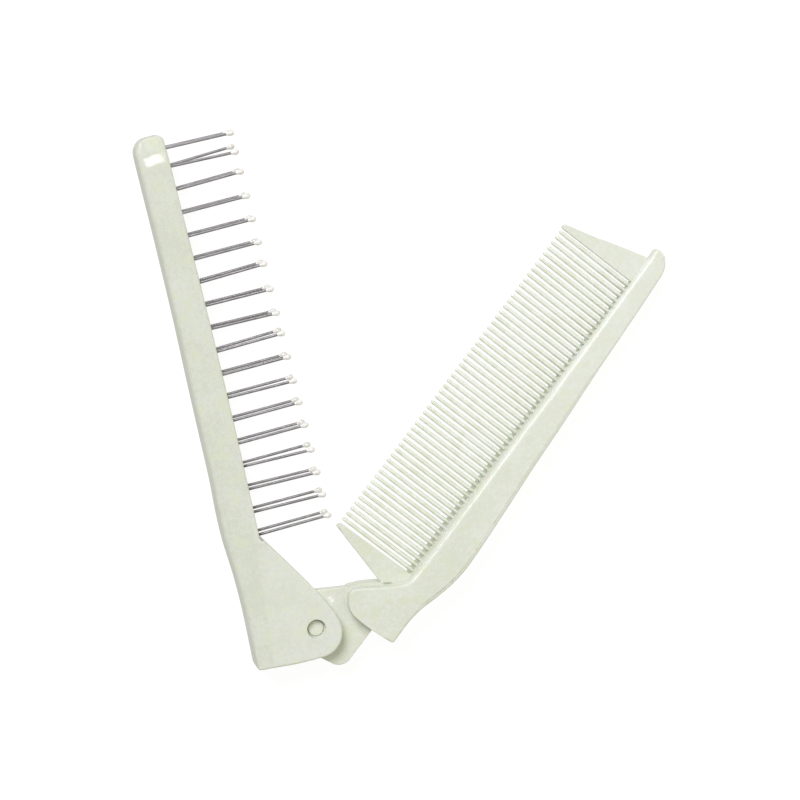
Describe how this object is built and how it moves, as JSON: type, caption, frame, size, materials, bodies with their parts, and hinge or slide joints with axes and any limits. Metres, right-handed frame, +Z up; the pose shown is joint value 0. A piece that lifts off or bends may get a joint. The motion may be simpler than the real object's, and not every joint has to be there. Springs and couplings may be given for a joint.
{
  "type": "folding comb brush",
  "caption": "Folding hairbrush with rows of ball-tipped pins along its handle, hinged to a fine-toothed comb that folds shut over them.",
  "frame": {"origin": "centre of the bounding box on the surface it lies on, with the comb part open", "axes": "+Y along the brush handle from the hinge to its far end, +X from the handle towards its pins and the comb, +Z up from the surface it lies on, parallel to the hinge's axis"},
  "size_m": [0.151, 0.167, 0.013],
  "materials": {
    "handle_plastic": "satin moulded, very pale grey-green",
    "comb_plastic": "satin moulded, very pale grey-green",
    "pin_steel": "drawn steel wire with a cream plastic drop on the tip"
  },
  "bodies": {
    "handle": {"brush_handle": "handle_plastic", "pin_lower_01": "pin_steel", "pin_lower_02": "pin_steel", "pin_lower_03": "pin_steel", "pin_lower_04": "pin_steel", "pin_lower_05": "pin_steel", "pin_lower_06": "pin_steel", "pin_lower_07": "pin_steel", "pin_lower_08": "pin_steel", "pin_lower_09": "pin_steel", "pin_lower_10": "pin_steel", "pin_lower_11": "pin_steel", "pin_lower_12": "pin_steel", "pin_lower_13": "pin_steel", "pin_lower_14": "pin_steel", "pin_lower_15": "pin_steel", "pin_lower_16": "pin_steel", "pin_lower_17": "pin_steel", "pin_lower_18": "pin_steel", "pin_upper_01": "pin_steel", "pin_upper_02": "pin_steel", "pin_upper_03": "pin_steel", "pin_upper_04": "pin_steel", "pin_upper_05": "pin_steel", "pin_upper_06": "pin_steel", "pin_upper_07": "pin_steel", "pin_upper_08": "pin_steel", "pin_upper_09": "pin_steel", "pin_upper_10": "pin_steel", "pin_upper_11": "pin_steel", "pin_upper_12": "pin_steel", "pin_upper_13": "pin_steel", "pin_upper_14": "pin_steel", "pin_upper_15": "pin_steel", "pin_upper_16": "pin_steel", "pin_upper_17": "pin_steel", "pin_upper_18": "pin_steel"},
    "comb": {"comb": "comb_plastic"}
  },
  "joints": [
    {"name": "comb_hinge", "type": "hinge", "parent": "handle", "child": "comb", "pos_m": [-0.05548, -0.07006, 0.0065], "axis": [0, 0, -1], "range_deg": [-51.9, 128.1]}
  ]
}
